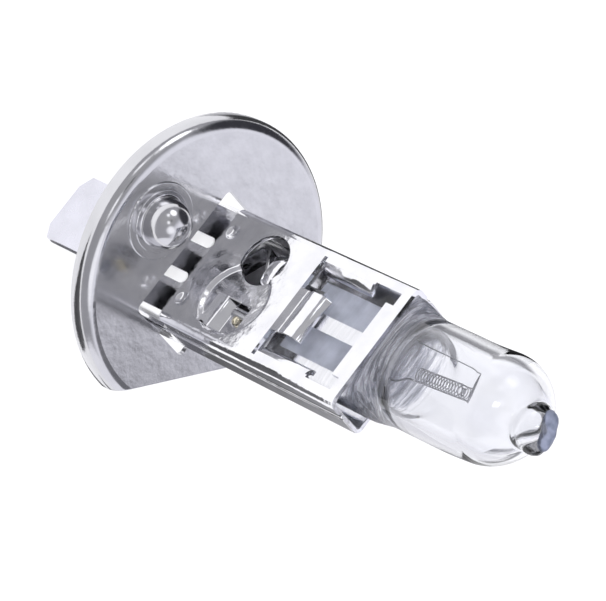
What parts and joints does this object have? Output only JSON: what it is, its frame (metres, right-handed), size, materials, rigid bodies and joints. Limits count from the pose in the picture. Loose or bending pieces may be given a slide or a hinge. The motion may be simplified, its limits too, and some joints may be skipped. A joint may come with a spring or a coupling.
{
  "type": "headlight bulb",
  "caption": "Halogen headlight bulb: clear glass burner held in a folded sheet-metal holder on a round locating flange, with one flat blade terminal at the rear.",
  "frame": {"origin": "lamp axis on the flange's front face, the plane the lamp seats on", "axes": "+Z along the bulb to its tip, -Y the broad front of the holder with the locating boss, +X across the holder"},
  "size_m": [0.0246, 0.0246, 0.0566],
  "materials": {
    "flange_steel": "bright plated, polished",
    "holder_steel": "bright plated sheet",
    "ceramic": "fired white ceramic",
    "terminal_metal": "plated, satin",
    "clear_glass": "clear, fire polished",
    "tip_paint": "dull grey-blue coating",
    "tungsten": "drawn wire",
    "foil": "rolled foil",
    "lead_metal": "drawn wire",
    "braze": "as brazed"
  },
  "bodies": {
    "root": {"flange_plate": "flange_steel", "front_holder_plate": "holder_steel", "rear_holder_plate": "holder_steel", "ceramic_insulator": "ceramic", "blade_terminal": "terminal_metal", "terminal_rivet": "terminal_metal", "glass_envelope": "clear_glass", "tip_coating": "tip_paint", "filament_coil": "tungsten", "short_inner_lead": "tungsten", "long_inner_lead": "tungsten", "live_foil": "foil", "earth_foil": "foil", "live_outer_lead": "lead_metal", "earth_outer_lead": "lead_metal", "live_contact_strap": "holder_steel", "earth_lead_clamp": "holder_steel", "pinch_clip": "holder_steel", "earth_lead_braze": "braze", "live_lead_braze": "braze"}
  },
  "joints": []
}
